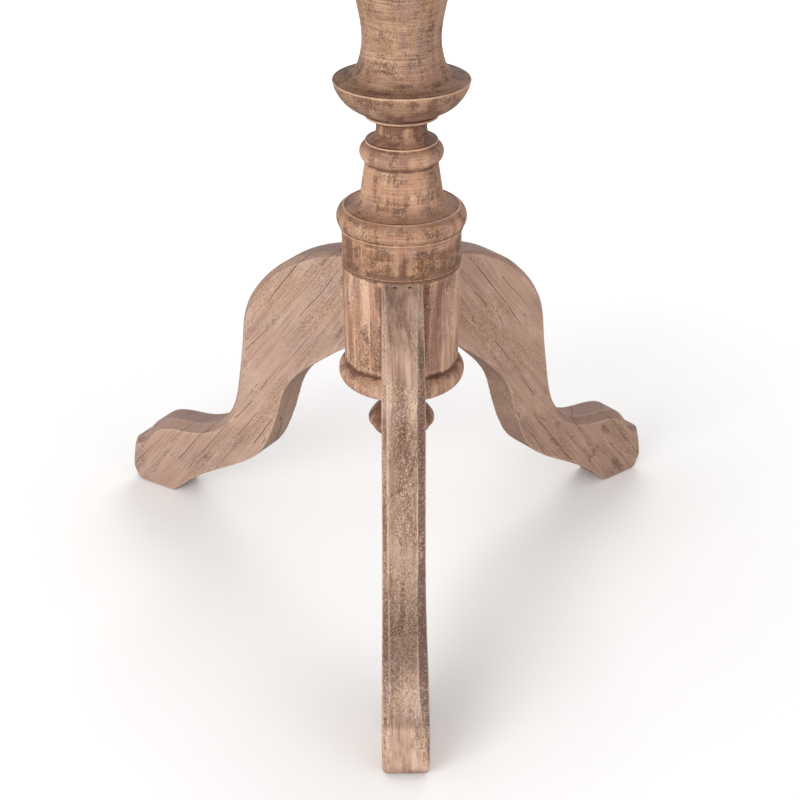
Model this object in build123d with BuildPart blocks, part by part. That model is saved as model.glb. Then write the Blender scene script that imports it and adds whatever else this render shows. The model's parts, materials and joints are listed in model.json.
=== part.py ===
from build123d import *

import os
from math import acos, cos, degrees, radians, sin

# Tilt top table: a round plank top on a turned tripod pedestal.
#
# Origin: on the floor under the column's axis. +Z is up, the front leg points along -Y,
# and the top tilts up about pins that run along X, so that its face ends up towards +Y.
# All sizes are in millimetres.

os.makedirs("parts", exist_ok=True)

# ---------------------------------------------------------------- driving dimensions

table_height = 750.0
top_diameter = 800.0
top_thickness = 20.0
board_count = 7

hub_bottom = 236.0
hub_top = 338.0
hub_radius_bottom = 55.8
hub_radius_top = 57.0

# the legs are set and shaped by hand: each has its own direction and reach
leg_angles = {"leg_front": -89.4, "leg_right": 38.5, "leg_left": 148.0}
leg_reaches = {"leg_front": 358.0, "leg_right": 337.0, "leg_left": 349.0}
leg_width_hub = 38.5
leg_width_foot = 42.0

neck_top = 480.0
lip_height = 515.0
lip_radius = 63.8

block_size = 180.0
block_thickness = 38.0
block_gap = 0.3
tenon_radius = 18.0

pin_radius = 5.0
pin_fit = 0.05
pin_depth = 45.0
cleat_gap = 0.5
cleat_width = 28.0
cleat_height = 40.0
cleat_half_length = 335.0

bolt_radius = 4.0
bolt_fit = 0.05

# ---------------------------------------------------------------- derived places

top_radius = top_diameter / 2
underside = table_height - top_thickness
block_top = underside - block_gap
block_bottom = block_top - block_thickness
half_block = block_size / 2
pin_inset = block_thickness / 2
pin_y = half_block - pin_inset
pin_z = block_top - pin_inset
cleat_inner = half_block + cleat_gap
cleat_outer = cleat_inner + cleat_width
board_width = top_diameter / board_count


# ---------------------------------------------------------------- turned pedestal

finial_tenon_radius = 10.0
finial_tenon_top = hub_bottom + 28.0
column_tenon_radius = 16.0
column_tenon_bottom = hub_top - 60.0
urn_tenon_radius = 11.0
urn_tenon_bottom = neck_top - 39.0

with BuildPart() as drop_finial:
    with BuildSketch(Plane.XZ):
        with BuildLine():
            # tenon, disc and the half-round bead under the hub
            Polyline((0, finial_tenon_top), (finial_tenon_radius, finial_tenon_top),
                     (finial_tenon_radius, hub_bottom), (49, hub_bottom))
            ThreePointArc((49, hub_bottom), (61.9, 223), (49, 210))
            # step and cove down to the thin neck
            Line((49, 210), (31, 208.5))
            ThreePointArc((31, 208.5), (21.5, 203.5), (18, 193))
            Line((18, 193), (18, 185.5))
            # flattened ball, cut by a small step
            ThreePointArc((18, 185.5), (26.8, 178.2), (33.1, 168.5))
            Polyline((33.1, 168.5), (32.9, 165), (31, 164))
            ThreePointArc((31, 164), (24.5, 154), (10, 149.5))
            # button at the tip
            Line((10, 149.5), (8.5, 148))
            CenterArc((0, 148), 8.5, 0, -90)
            Line((0, 139.5), (0, finial_tenon_top))
        make_face()
    revolve(axis=Axis.Z)
drop_finial.part.label = "drop_finial"
export_step(drop_finial.part, "parts/drop_finial.step")


with BuildPart() as column_middle:
    with BuildSketch(Plane.XZ):
        with BuildLine():
            # tenon and plain collar
            Polyline((0, column_tenon_bottom), (column_tenon_radius, column_tenon_bottom),
                     (column_tenon_radius, hub_top), (56.6, hub_top), (57.4, hub_top + 0.8),
                     (57.2, 366))
            # cove, incised line, and the torus with its sharp upper edge
            ThreePointArc((57.2, 366), (57.9, 370.6), (59.6, 374.4))
            Polyline((59.6, 374.4), (58.5, 375.4), (59.9, 376.4))
            ThreePointArc((59.9, 376.4), (62.1, 384), (56, 394))
            Line((56, 394), (54.9, 394.6))
            # cove into the tapered stem
            ThreePointArc((54.9, 394.6), (43.6, 399.4), (38.6, 410.5))
            Polyline((38.6, 410.5), (34.7, 435.8), (33.6, 437.2), (34.9, 438.6))
            # bead and its sharp upper edge
            ThreePointArc((34.9, 438.6), (39.6, 446.8), (33.6, 456.2))
            Polyline((33.6, 456.2), (34.1, 457), (34.1, 458.6))
            # cove into the thin neck, which ends in a small ledge
            ThreePointArc((34.1, 458.6), (27, 461.8), (23.9, 469))
            Line((23.9, 469), (23.9, neck_top - 4))
            ThreePointArc((23.9, neck_top - 4), (24.6, neck_top - 2.4), (26.2, neck_top - 1.8))
            Polyline((26.2, neck_top - 1.8), (26.2, neck_top), (urn_tenon_radius, neck_top),
                     (urn_tenon_radius, urn_tenon_bottom), (0, urn_tenon_bottom),
                     (0, column_tenon_bottom))
        make_face()
    revolve(axis=Axis.Z)
column_middle.part.label = "column_middle"
export_step(column_middle.part, "parts/column_middle.step")


wedge_width = 4.0
wedge_tip = 1.0
wedge_depth = 26.0
wedge_half_length = 17.0

with BuildPart() as tenon_wedge:
    with BuildSketch(Plane.XZ):
        with BuildLine():
            Polyline((-wedge_width / 2, block_top), (wedge_width / 2, block_top),
                     (wedge_tip / 2, block_top - wedge_depth),
                     (-wedge_tip / 2, block_top - wedge_depth), close=True)
        make_face()
    extrude(amount=wedge_half_length, both=True)
tenon_wedge.part.label = "tenon_wedge"
export_step(tenon_wedge.part, "parts/tenon_wedge.step")


with BuildPart() as column_urn:
    with BuildSketch(Plane.XZ):
        with BuildLine():
            # lower tenon, foot ring and the groove under the urn
            Polyline((0, urn_tenon_bottom), (urn_tenon_radius, urn_tenon_bottom),
                     (urn_tenon_radius, neck_top), (27, neck_top), (33.6, neck_top + 0.6))
            ThreePointArc((33.6, neck_top + 0.6), (34.7, neck_top + 2.2), (33.4, neck_top + 3.8))
            Polyline((33.4, neck_top + 3.8), (31.2, neck_top + 4.4), (32.2, neck_top + 5.4))
            # bowl of the urn, up to its lip
            ThreePointArc((32.2, neck_top + 5.4), (53.9, 496.4), (lip_radius, lip_height))
            Polyline((lip_radius, lip_height), (63.2, 516.2), (61.6, 516.6))
            # dished shoulder, waist, vase and neck
            Spline((61.6, 516.6), (51, 518.5), (43.5, 524.8), (38.8, 536), (36.4, 553), (38.3, 573),
                   (43.4, 597), (47.5, 622), (44, 645), (33, 662), (30, 668),
                   tangents=((-1, 0.08), (-0.1, 1)))
            # ring and top collar
            Line((30, 668), (33, 669))
            ThreePointArc((33, 669), (36.5, 672.5), (33, 676))
            Line((33, 676), (32, 677))
            ThreePointArc((32, 677), (35, 682.5), (43, 684.5))
            Polyline((43, 684.5), (43, block_bottom), (tenon_radius, block_bottom),
                     (tenon_radius, block_top), (0, block_top), (0, urn_tenon_bottom))
        make_face()
    revolve(axis=Axis.Z)
    # the slot in the top tenon is opened by its wedge
    add(tenon_wedge.part, mode=Mode.SUBTRACT)
column_urn.part.label = "column_urn"
export_step(column_urn.part, "parts/column_urn.step")


# ---------------------------------------------------------------- legs and their hub

# the reach that the leg's outline is drawn at, which each leg stretches to its own
outline_reach = 344.0

tongue_bottom = hub_bottom
tongue_top = 302.0
tongue_root = 60.0
tongue_tip = 41.0
tongue_root_width = 15.0
tongue_tip_width = 22.0

brad_radius = 1.2
brad_head_radius = 1.7
brad_head_height = 1.0
brad_length = 24.0
brad_spread = 7.0
brad_place = 65.0
brad_slant = 50.0
brad_height = 335.8


def radial_plane(angle):
    """Upright plane through the column's axis: x outwards, y up."""
    a = radians(angle)
    return Plane(origin=(0, 0, 0), x_dir=(cos(a), sin(a), 0), z_dir=(sin(a), -cos(a), 0))


def floor_plane(angle, height):
    """Level plane at a height, turned so that its x points outwards."""
    a = radians(angle)
    return Plane(origin=(0, 0, height), x_dir=(cos(a), sin(a), 0), z_dir=(0, 0, 1))


def brad_plane(angle, side):
    """Plane across a brad's head, with its normal down and in towards the axis."""
    radial = Vector(cos(radians(angle)), sin(radians(angle)), 0)
    across = Vector(-sin(radians(angle)), cos(radians(angle)), 0)
    head = radial * brad_place + across * (side * brad_spread) + Vector(0, 0, brad_height)
    slant = radians(brad_slant)
    return Plane(origin=head, x_dir=across, z_dir=radial * -sin(slant) - Vector(0, 0, cos(slant)))


with BuildPart() as leg_brads:
    for angle in leg_angles.values():
        for side in (-1, 1):
            with BuildSketch(brad_plane(angle, side)):
                Circle(brad_radius)
            extrude(amount=brad_length)
            with BuildSketch(brad_plane(angle, side)):
                Circle(brad_head_radius)
            extrude(amount=brad_head_height)
leg_brads.part.label = "leg_brads"
export_step(leg_brads.part, "parts/leg_brads.step")


# the outside of the hub, which the legs' shoulders are cut to, carried on below the hub
cutter_bottom = hub_bottom - 60.0
hub_bevel = 1.0

with BuildPart() as hub_envelope:
    with BuildSketch(Plane.XZ):
        with BuildLine():
            Polyline((0, cutter_bottom), (hub_radius_bottom, cutter_bottom),
                     (hub_radius_bottom, hub_bottom), (hub_radius_top, hub_top - hub_bevel),
                     (hub_radius_top - hub_bevel, hub_top), (0, hub_top), close=True)
        make_face()
    revolve(axis=Axis.Z)


def tongue(angle):
    """Dovetail tongue of one leg, and the shape of its socket in the hub."""
    with BuildPart() as shape:
        with BuildSketch(floor_plane(angle, tongue_bottom)):
            with BuildLine():
                Polyline((tongue_root, -tongue_root_width / 2), (tongue_root, tongue_root_width / 2),
                         (tongue_tip, tongue_tip_width / 2), (tongue_tip, -tongue_tip_width / 2),
                         close=True)
            make_face()
        extrude(amount=tongue_top - tongue_bottom)
    return shape.part


def leg(angle, reach):
    """One S-shaped leg, sawn from a board that is wider at the foot than at the hub."""
    k = reach / outline_reach
    with BuildPart() as shape:
        with BuildSketch(radial_plane(angle)):
            with BuildLine():
                # knee, shin and instep, down to the toe
                Spline((44, 337.5), (80 * k, 332.5), (121 * k, 315), (157 * k, 284), (179 * k, 247),
                       (185 * k, 209), (192.5 * k, 161), (206 * k, 119), (245 * k, 92.5),
                       (282 * k, 87.5), (312 * k, 76), (333 * k, 57), (reach, 24),
                       tangents=((1, 0), (0, -1)))
                ThreePointArc((reach, 24), (reach - 4, 6.7), (reach - 14, 0))
                # sole, then the back of the leg up to the hub
                Line((reach - 14, 0), (284.5 * k, 0))
                Spline((284.5 * k, 0), (260.5 * k, 20), (225 * k, 43.5), (186.5 * k, 65.7), (163.5 * k, 85),
                       (149.5 * k, 109.5), (138 * k, 140.5), (127.7 * k, 170), (107 * k, 195.5), (83, 215.5),
                       (57, 234.5), (44, 243), tangents=((-0.85, 0.6), (-0.84, 0.54)))
                Line((44, 243), (44, 337.5))
            make_face()
        extrude(amount=leg_width_foot, both=True)
        with BuildSketch(floor_plane(angle, -1)):
            with BuildLine():
                Polyline((40, leg_width_hub / 2), (reach + 5, leg_width_foot / 2),
                         (reach + 5, -leg_width_foot / 2), (40, -leg_width_hub / 2), close=True)
            make_face()
        extrude(amount=hub_top, mode=Mode.INTERSECT)
        add(hub_envelope.part, mode=Mode.SUBTRACT)
        add(tongue(angle))
        add(leg_brads.part, mode=Mode.SUBTRACT)
    return shape.part


for name, angle in leg_angles.items():
    piece = leg(angle, leg_reaches[name])
    piece.label = name
    export_step(piece, f"parts/{name}.step")


with BuildPart() as leg_hub:
    add(hub_envelope.part)
    # the drum starts at its own lower face, not at the bottom of the cutting shape
    with BuildSketch(Plane.XY.offset(hub_bottom)):
        Circle(hub_radius_top + 5)
    extrude(amount=cutter_bottom - hub_bottom - 1, mode=Mode.SUBTRACT)
    with BuildSketch(Plane.XY.offset(column_tenon_bottom)):
        Circle(column_tenon_radius)
    extrude(amount=hub_top - column_tenon_bottom, mode=Mode.SUBTRACT)
    with BuildSketch(Plane.XY.offset(hub_bottom)):
        Circle(finial_tenon_radius)
    extrude(amount=finial_tenon_top - hub_bottom, mode=Mode.SUBTRACT)
    for angle in leg_angles.values():
        add(tongue(angle), mode=Mode.SUBTRACT)
    add(leg_brads.part, mode=Mode.SUBTRACT)
leg_hub.part.label = "leg_hub"
export_step(leg_hub.part, "parts/leg_hub.step")


# ---------------------------------------------------------------- block, pins and keeper

pin_head_radius = 9.0
pin_head_thickness = 3.5
pin_head_gap = 0.3

bolt_z = underside - 14.0
keeper_thickness = 1.5
keeper_width = 34.0
keeper_height = 22.0
keeper_hole_radius = bolt_radius + 0.6
keeper_screw_spread = 11.5
bolt_hole_depth = 18.0
small_screw_radius = 1.5
small_screw_length = 12.0
small_head_radius = 2.8
small_head_height = 1.4

keeper_face = -half_block - keeper_thickness


def headed_screw(plane):
    """Small round-headed screw: the plane lies under the head, its normal along the shank."""
    with BuildPart() as shape:
        with BuildSketch(plane):
            Circle(small_screw_radius)
        extrude(amount=small_screw_length)
        with BuildSketch(plane):
            Circle(small_head_radius)
        extrude(amount=-small_head_height)
        head_face = shape.faces().sort_by(Axis(plane.origin, plane.z_dir))[0]
        fillet(head_face.edges(), radius=0.8)
    return shape.part


# plane on the keeper's face, with its normal into the block
into_block = Plane(origin=(0, keeper_face, bolt_z), x_dir=(1, 0, 0), z_dir=(0, 1, 0))

with BuildPart() as strike_screws:
    for x in (-keeper_screw_spread, keeper_screw_spread):
        seat = Plane(origin=(x, keeper_face, bolt_z), x_dir=(1, 0, 0), z_dir=(0, 1, 0))
        add(headed_screw(seat))
strike_screws.part.label = "strike_screws"
export_step(strike_screws.part, "parts/strike_screws.step")


with BuildPart() as strike_plate:
    with BuildSketch(into_block):
        RectangleRounded(keeper_width, keeper_height, 3)
        Circle(keeper_hole_radius, mode=Mode.SUBTRACT)
    extrude(amount=keeper_thickness)
    chamfer(strike_plate.faces().sort_by(Axis.Y)[0].outer_wire().edges(), length=0.5)
    add(strike_screws.part, mode=Mode.SUBTRACT)
strike_plate.part.label = "strike_plate"
export_step(strike_plate.part, "parts/strike_plate.step")


pin_start = half_block - pin_depth
pin_end = cleat_outer + pin_head_gap

for side, name in ((-1, "pivot_pin_left"), (1, "pivot_pin_right")):
    with BuildPart() as pivot_pin:
        with BuildSketch(Plane(origin=(side * pin_start, pin_y, pin_z), z_dir=(side, 0, 0))):
            Circle(pin_radius)
        extrude(amount=pin_end - pin_start)
        with BuildSketch(Plane(origin=(side * pin_end, pin_y, pin_z), z_dir=(side, 0, 0))):
            Circle(pin_head_radius)
        extrude(amount=pin_head_thickness)
        outer_face = pivot_pin.faces().sort_by(Axis.X)[0 if side < 0 else -1]
        fillet(outer_face.edges(), radius=1.5)
    pivot_pin.part.label = name
    export_step(pivot_pin.part, f"parts/{name}.step")


block_corner_radius = pin_inset - 0.5
block_edge_chamfer = 5.0

with BuildPart() as tilt_block:
    with BuildSketch(Plane.XY.offset(block_bottom)):
        Rectangle(block_size, block_size)
    extrude(amount=block_thickness)
    # the back edge is rounded about the pins, so that the top clears it as it tilts
    top_edges = tilt_block.edges().group_by(Axis.Z)[-1]
    fillet(top_edges.sort_by(Axis.Y)[-1], radius=block_corner_radius)
    chamfer(tilt_block.faces().sort_by(Axis.Z)[0].edges(), length=block_edge_chamfer)
    with BuildSketch(Plane.XY.offset(block_bottom)):
        Circle(tenon_radius)
    extrude(amount=block_thickness, mode=Mode.SUBTRACT)
    for side in (-1, 1):
        with BuildSketch(Plane(origin=(side * pin_start, pin_y, pin_z), z_dir=(side, 0, 0))):
            Circle(pin_radius)
        extrude(amount=pin_depth, mode=Mode.SUBTRACT)
    with BuildSketch(into_block):
        Circle(keeper_hole_radius)
    extrude(amount=keeper_thickness + bolt_hole_depth, mode=Mode.SUBTRACT)
    add(strike_screws.part, mode=Mode.SUBTRACT)
tilt_block.part.label = "tilt_block"
export_step(tilt_block.part, "parts/tilt_block.step")


# ---------------------------------------------------------------- tilting top

cleat_end_height = 17.0
cleat_taper_start = 270.0
cleat_taper_middle = 301.0
cleat_taper_middle_height = 29.0
screw_rows = [(i - (board_count - 1) / 2) * board_width for i in range(board_count)]
screw_end_inset = 40.0
screw_rows[0] += screw_end_inset
screw_rows[-1] -= screw_end_inset
cleat_screw_radius = 2.0
cleat_screw_head_radius = 4.2
cleat_screw_head_height = 2.6
cleat_screw_bottom = underside - 14.0
cleat_screw_top = underside + 12.0
counterbore_radius = 5.0
cleat_middle = (cleat_inner + cleat_outer) / 2

with BuildPart() as cleat_screws:
    for x in (-cleat_middle, cleat_middle):
        for y in screw_rows:
            with BuildSketch(Plane.XY.offset(cleat_screw_bottom)):
                with Locations((x, y)):
                    Circle(cleat_screw_head_radius)
            extrude(amount=cleat_screw_head_height)
            with BuildSketch(Plane.XY.offset(cleat_screw_bottom)):
                with Locations((x, y)):
                    Circle(cleat_screw_radius)
            extrude(amount=cleat_screw_top - cleat_screw_bottom)
cleat_screws.part.label = "cleat_screws"
export_step(cleat_screws.part, "parts/cleat_screws.step")


for side, name in ((-1, "cleat_left"), (1, "cleat_right")):
    with BuildPart() as cleat:
        with BuildSketch(Plane.YZ.offset(side * cleat_middle)):
            with BuildLine():
                Polyline((-cleat_half_length, underside), (cleat_half_length, underside),
                         (cleat_half_length, underside - cleat_end_height))
                ThreePointArc((cleat_half_length, underside - cleat_end_height),
                              (cleat_taper_middle, underside - cleat_taper_middle_height),
                              (cleat_taper_start, underside - cleat_height))
                Line((cleat_taper_start, underside - cleat_height),
                     (-cleat_taper_start, underside - cleat_height))
                ThreePointArc((-cleat_taper_start, underside - cleat_height),
                              (-cleat_taper_middle, underside - cleat_taper_middle_height),
                              (-cleat_half_length, underside - cleat_end_height))
                Line((-cleat_half_length, underside - cleat_end_height),
                     (-cleat_half_length, underside))
            make_face()
        extrude(amount=cleat_width / 2, both=True)
        with BuildSketch(Plane.YZ.offset(side * cleat_middle)):
            with Locations((pin_y, pin_z)):
                Circle(pin_radius + pin_fit)
        extrude(amount=cleat_width / 2, both=True, mode=Mode.SUBTRACT)
        # counterbores from below for the screws
        with BuildSketch(Plane.XY.offset(underside - cleat_height)):
            for y in screw_rows:
                with Locations((side * cleat_middle, y)):
                    Circle(counterbore_radius)
        extrude(amount=cleat_screw_bottom - (underside - cleat_height), mode=Mode.SUBTRACT)
        add(cleat_screws.part, mode=Mode.SUBTRACT)
    cleat.part.label = name
    export_step(cleat.part, f"parts/{name}.step")


bolt_middle = -133.0
rod_tip = keeper_face - 1.5
rod_length = 89.0
plate_start = -187.0
plate_end = -98.0
plate_width = 34.0
plate_thickness = 2.0
guide_length = 9.0
guide_width = 15.0
guide_drop = bolt_radius + 3.0
guide_places = (-171.0, -104.0)
plate_screw_places = (-157.0, -118.0)
plate_screw_spread = 12.0

plate_bottom = underside - plate_thickness

with BuildPart() as bolt_plate_screws:
    for x in (-plate_screw_spread, plate_screw_spread):
        for y in plate_screw_places:
            add(headed_screw(Plane(origin=(x, y, plate_bottom))))
bolt_plate_screws.part.label = "bolt_plate_screws"
export_step(bolt_plate_screws.part, "parts/bolt_plate_screws.step")


with BuildPart() as bolt_plate:
    with BuildSketch(Plane.XY.offset(plate_bottom)):
        with Locations((0, (plate_start + plate_end) / 2)):
            RectangleRounded(plate_width, plate_end - plate_start, 4)
    extrude(amount=plate_thickness)
    for y in guide_places:
        with BuildSketch(Plane.XZ.offset(-y)):
            with BuildLine():
                Polyline((-guide_width / 2, plate_bottom), (guide_width / 2, plate_bottom),
                         (guide_width / 2, bolt_z))
                ThreePointArc((guide_width / 2, bolt_z), (0, bolt_z - guide_width / 2),
                              (-guide_width / 2, bolt_z))
                Line((-guide_width / 2, bolt_z), (-guide_width / 2, plate_bottom))
            make_face()
        extrude(amount=guide_length / 2, both=True)
    with BuildSketch(Plane.XZ.offset(-plate_end)):
        with Locations((0, bolt_z)):
            Circle(bolt_radius + bolt_fit)
    extrude(amount=plate_end - plate_start, mode=Mode.SUBTRACT)
    add(bolt_plate_screws.part, mode=Mode.SUBTRACT)
bolt_plate.part.label = "bolt_plate"
export_step(bolt_plate.part, "parts/bolt_plate.step")


knob_stem_radius = 3.0
knob_stem_top = bolt_z - bolt_radius + 1.2
knob_centre = bolt_z - 19.0
knob_radius = 8.0
stem_meets_ball = degrees(acos(knob_stem_radius / knob_radius))

with BuildPart() as bolt_knob:
    with BuildSketch(Plane.XZ.offset(-bolt_middle)):
        with BuildLine():
            ball = CenterArc((0, knob_centre), knob_radius, -90, 90 + stem_meets_ball)
            Polyline(ball @ 1, (knob_stem_radius, knob_stem_top), (0, knob_stem_top), ball @ 0)
        make_face()
    revolve(axis=Axis((0, bolt_middle, 0), (0, 0, 1)))
bolt_knob.part.label = "bolt_knob"
export_step(bolt_knob.part, "parts/bolt_knob.step")


with BuildPart() as bolt_rod:
    with BuildSketch(Plane.XZ.offset(-rod_tip)):
        with Locations((0, bolt_z)):
            Circle(bolt_radius)
    extrude(amount=rod_length)
    chamfer(bolt_rod.faces().sort_by(Axis.Y)[-1].edges(), length=1)
    add(bolt_knob.part, mode=Mode.SUBTRACT)
bolt_rod.part.label = "bolt_rod"
export_step(bolt_rod.part, "parts/bolt_rod.step")


spline_width = 14.0
spline_thickness = 4.0
spline_end_inset = 30.0
spline_z = underside + top_thickness / 2
joints = [(i - board_count / 2) * board_width for i in range(1, board_count)]

with BuildPart() as board_splines:
    for y in joints:
        half_chord = (top_radius ** 2 - (abs(y) + spline_width / 2) ** 2) ** 0.5
        with BuildSketch(Plane.XY.offset(spline_z - spline_thickness / 2)):
            with Locations((0, y)):
                Rectangle(2 * (half_chord - spline_end_inset), spline_width)
        extrude(amount=spline_thickness)
board_splines.part.label = "board_splines"
export_step(board_splines.part, "parts/board_splines.step")


rim_bevel_top = 5.0
rim_bevel_underside = 3.0

# the whole disc, which the boards are cut from
with BuildPart() as round_top:
    with BuildSketch(Plane.XZ):
        with BuildLine():
            Polyline((0, underside), (top_radius - rim_bevel_underside, underside),
                     (top_radius, underside + rim_bevel_underside),
                     (top_radius, table_height - rim_bevel_top),
                     (top_radius - rim_bevel_top, table_height), (0, table_height), close=True)
        make_face()
    revolve(axis=Axis.Z)

for i in range(board_count):
    board_y = (i - (board_count - 1) / 2) * board_width
    with BuildPart() as board:
        with BuildSketch(Plane.XY.offset(underside - 1)):
            with Locations((0, board_y)):
                Rectangle(top_diameter + 20, board_width)
        extrude(amount=top_thickness + 2)
        add(round_top.part, mode=Mode.INTERSECT)
        add(board_splines.part, mode=Mode.SUBTRACT)
        add(cleat_screws.part, mode=Mode.SUBTRACT)
        add(bolt_plate_screws.part, mode=Mode.SUBTRACT)
    board.part.label = f"top_board_{i + 1}"
    export_step(board.part, f"parts/top_board_{i + 1}.step")
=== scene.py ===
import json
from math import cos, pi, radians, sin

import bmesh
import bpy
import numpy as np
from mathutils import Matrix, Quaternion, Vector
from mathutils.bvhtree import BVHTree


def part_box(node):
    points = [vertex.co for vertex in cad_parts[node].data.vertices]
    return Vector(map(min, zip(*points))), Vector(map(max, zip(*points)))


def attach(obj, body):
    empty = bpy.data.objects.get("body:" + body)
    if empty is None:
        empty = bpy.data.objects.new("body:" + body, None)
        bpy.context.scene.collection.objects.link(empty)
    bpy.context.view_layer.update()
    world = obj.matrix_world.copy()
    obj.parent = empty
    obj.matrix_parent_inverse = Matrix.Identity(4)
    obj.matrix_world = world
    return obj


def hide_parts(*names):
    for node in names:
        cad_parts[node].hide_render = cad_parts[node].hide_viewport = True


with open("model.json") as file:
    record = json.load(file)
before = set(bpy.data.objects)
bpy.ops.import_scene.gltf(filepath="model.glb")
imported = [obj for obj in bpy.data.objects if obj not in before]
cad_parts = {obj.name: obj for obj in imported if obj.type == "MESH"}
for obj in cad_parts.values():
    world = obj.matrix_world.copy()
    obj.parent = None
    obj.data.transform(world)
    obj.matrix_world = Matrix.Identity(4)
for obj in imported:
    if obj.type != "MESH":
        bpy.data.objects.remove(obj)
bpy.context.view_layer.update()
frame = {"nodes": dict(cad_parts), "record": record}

# Tilt top table in weathered, limed hardwood. The legs, turned parts, block, cleats and boards
# are replaced by pieces with worn edges and relief, and the screws by screws with slotted heads.
# The other fittings, the wedge and the splines keep their CAD shape.
#
# All sizes are in millimetres, and MM turns them into metres. The lights, the floor and the
# camera are placed in metres.

MM = 0.001
nodes = frame["nodes"]
bodies = frame["record"]["behaviour"]["bodies"]
body_of = {node: body for body, names in bodies.items() for node in names}

# ---------------------------------------------------------------- places, read from the frame

finial_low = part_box("drop_finial")[0][2] / MM
hub_low, hub_high = (v[2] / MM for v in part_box("leg_hub"))
hub_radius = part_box("leg_hub")[1][0] / MM
block_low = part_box("tilt_block")[0][2] / MM
neck_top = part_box("column_middle")[1][2] / MM
top_low, top_high = (v[2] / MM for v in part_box("top_board_4"))
top_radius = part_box("top_board_4")[1][0] / MM
BOARDS = tuple(f"top_board_{i}" for i in range(1, 8))
# how far from the axis a leg's root is, and half its width there and at the tip of its toe
LEG_ROOT = 40
LEG_ROOT_HALF = 19.2
LEG_TIP_HALF = 21
# the angle of a leg's fibres above level
FIBRE_RISE = radians(52)


# ---------------------------------------------------------------- noise

def lattice_noise(points, seed):
    """Smooth noise from -1 to 1 at an array of points, with one cell per unit."""
    cell = np.floor(points).astype(np.int64)
    part = points - cell
    part = part * part * (3 - 2 * part)
    total = np.zeros(len(points))
    for corner in np.ndindex(2, 2, 2):
        # a random number for each corner of the cell, mixed from its place and the seed
        key = cell + corner
        n = key[:, 0] * 73856093 ^ key[:, 1] * 19349663 ^ key[:, 2] * 83492791 ^ seed * 7919
        n = (n ^ (n >> 13)) * 1274126177 & 0xFFFFFFFF
        n = (n ^ (n >> 16)) * 668265263 & 0xFFFFFFFF
        value = (n & 0xFFFFFF) / 0x7FFFFF - 1.0
        weight = np.ones(len(points))
        for axis in range(3):
            weight *= part[:, axis] if corner[axis] else 1 - part[:, axis]
        total += weight * value
    return total


def noise(points, size, seed, octaves=3):
    """Sum of octaves of noise; size is the largest feature in mm, one number or one per axis."""
    total = np.zeros(len(points))
    strength = 0.0
    for octave in range(octaves):
        total += lattice_noise(points / np.asarray(size) * 2 ** octave, seed + octave) / 2 ** octave
        strength += 1 / 2 ** octave
    return total / strength


def smooth_step(low, high, value):
    t = np.clip((value - low) / (high - low), 0, 1)
    return t * t * (3 - 2 * t)


# ---------------------------------------------------------------- meshes as arrays, in mm

def new_piece(name, points, faces):
    mesh = bpy.data.meshes.new(name)
    mesh.from_pydata((np.asarray(points) * MM).tolist(), [], faces)
    mesh.validate()
    mesh.update()
    piece = bpy.data.objects.new(name, mesh)
    bpy.context.collection.objects.link(piece)
    return piece


def get_points(piece):
    data = np.empty(len(piece.data.vertices) * 3)
    piece.data.vertices.foreach_get("co", data)
    return data.reshape(-1, 3) / MM


def set_points(piece, points):
    piece.data.vertices.foreach_set("co", (points * MM).ravel())
    piece.data.update()


def get_normals(piece):
    data = np.empty(len(piece.data.vertices) * 3)
    piece.data.vertex_normals.foreach_get("vector", data)
    return data.reshape(-1, 3)


def averaged(points, edges):
    """Each point's mean of its neighbours."""
    count = np.bincount(edges.ravel(), minlength=len(points))[:, None]
    total = np.zeros_like(points)
    for axis in range(3):
        total[:, axis] += np.bincount(edges[:, 0], points[edges[:, 1], axis], len(points))
        total[:, axis] += np.bincount(edges[:, 1], points[edges[:, 0], axis], len(points))
    return total / np.maximum(count, 1)


def get_edges(piece):
    data = np.empty(len(piece.data.edges) * 2, dtype=np.int32)
    piece.data.edges.foreach_get("vertices", data)
    return data.reshape(-1, 2)


def smoothed(points, edges, rounds, weight=1.0):
    for _ in range(rounds):
        points = points + 0.5 * weight * (averaged(points, edges) - points)
    return points


def remeshed(name, node, voxel):
    """Even mesh of a CAD node's shape."""
    source = nodes[node]
    piece = bpy.data.objects.new(name, source.data.copy())
    bpy.context.collection.objects.link(piece)
    weld = piece.modifiers.new("weld", "WELD")
    weld.merge_threshold = 0.01 * MM
    voxels = piece.modifiers.new("voxels", "REMESH")
    voxels.mode = "VOXEL"
    voxels.voxel_size = voxel * MM
    graph = bpy.context.evaluated_depsgraph_get()
    mesh = bpy.data.meshes.new_from_object(piece.evaluated_get(graph))
    piece.modifiers.clear()
    piece.data = mesh
    mesh.name = name
    mesh.materials.clear()
    return piece


def outline(node, low, high, spacing):
    """Radius and height of a turned CAD node between two heights, at even steps along it.

    Rays are cast at the node's axis from far outside it, a little off the seam of its mesh.
    """
    first, step = 0.02, 0.2
    outside, off_seam = 0.2, 0.00001
    heights = np.arange(low + first, high, step)
    radii = []
    for height in heights:
        start = Vector((outside, off_seam, height * MM))
        radii.append(nodes[node].ray_cast(start, Vector((-1, 0, 0)))[1].x / MM)
    line = np.column_stack([radii, heights])
    steps = np.hypot(*np.diff(line, axis=0).T)
    along = np.concatenate([[0], np.cumsum(steps)])
    places = np.linspace(0, along[-1], int(along[-1] / spacing) + 1)
    return np.column_stack([np.interp(places, along, line[:, axis]) for axis in (0, 1)])


def circle(segments):
    """Points of a circle of radius 1 about the axis."""
    angles = np.arange(segments) * 2 * pi / segments
    return np.column_stack([np.cos(angles), np.sin(angles)])


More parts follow.
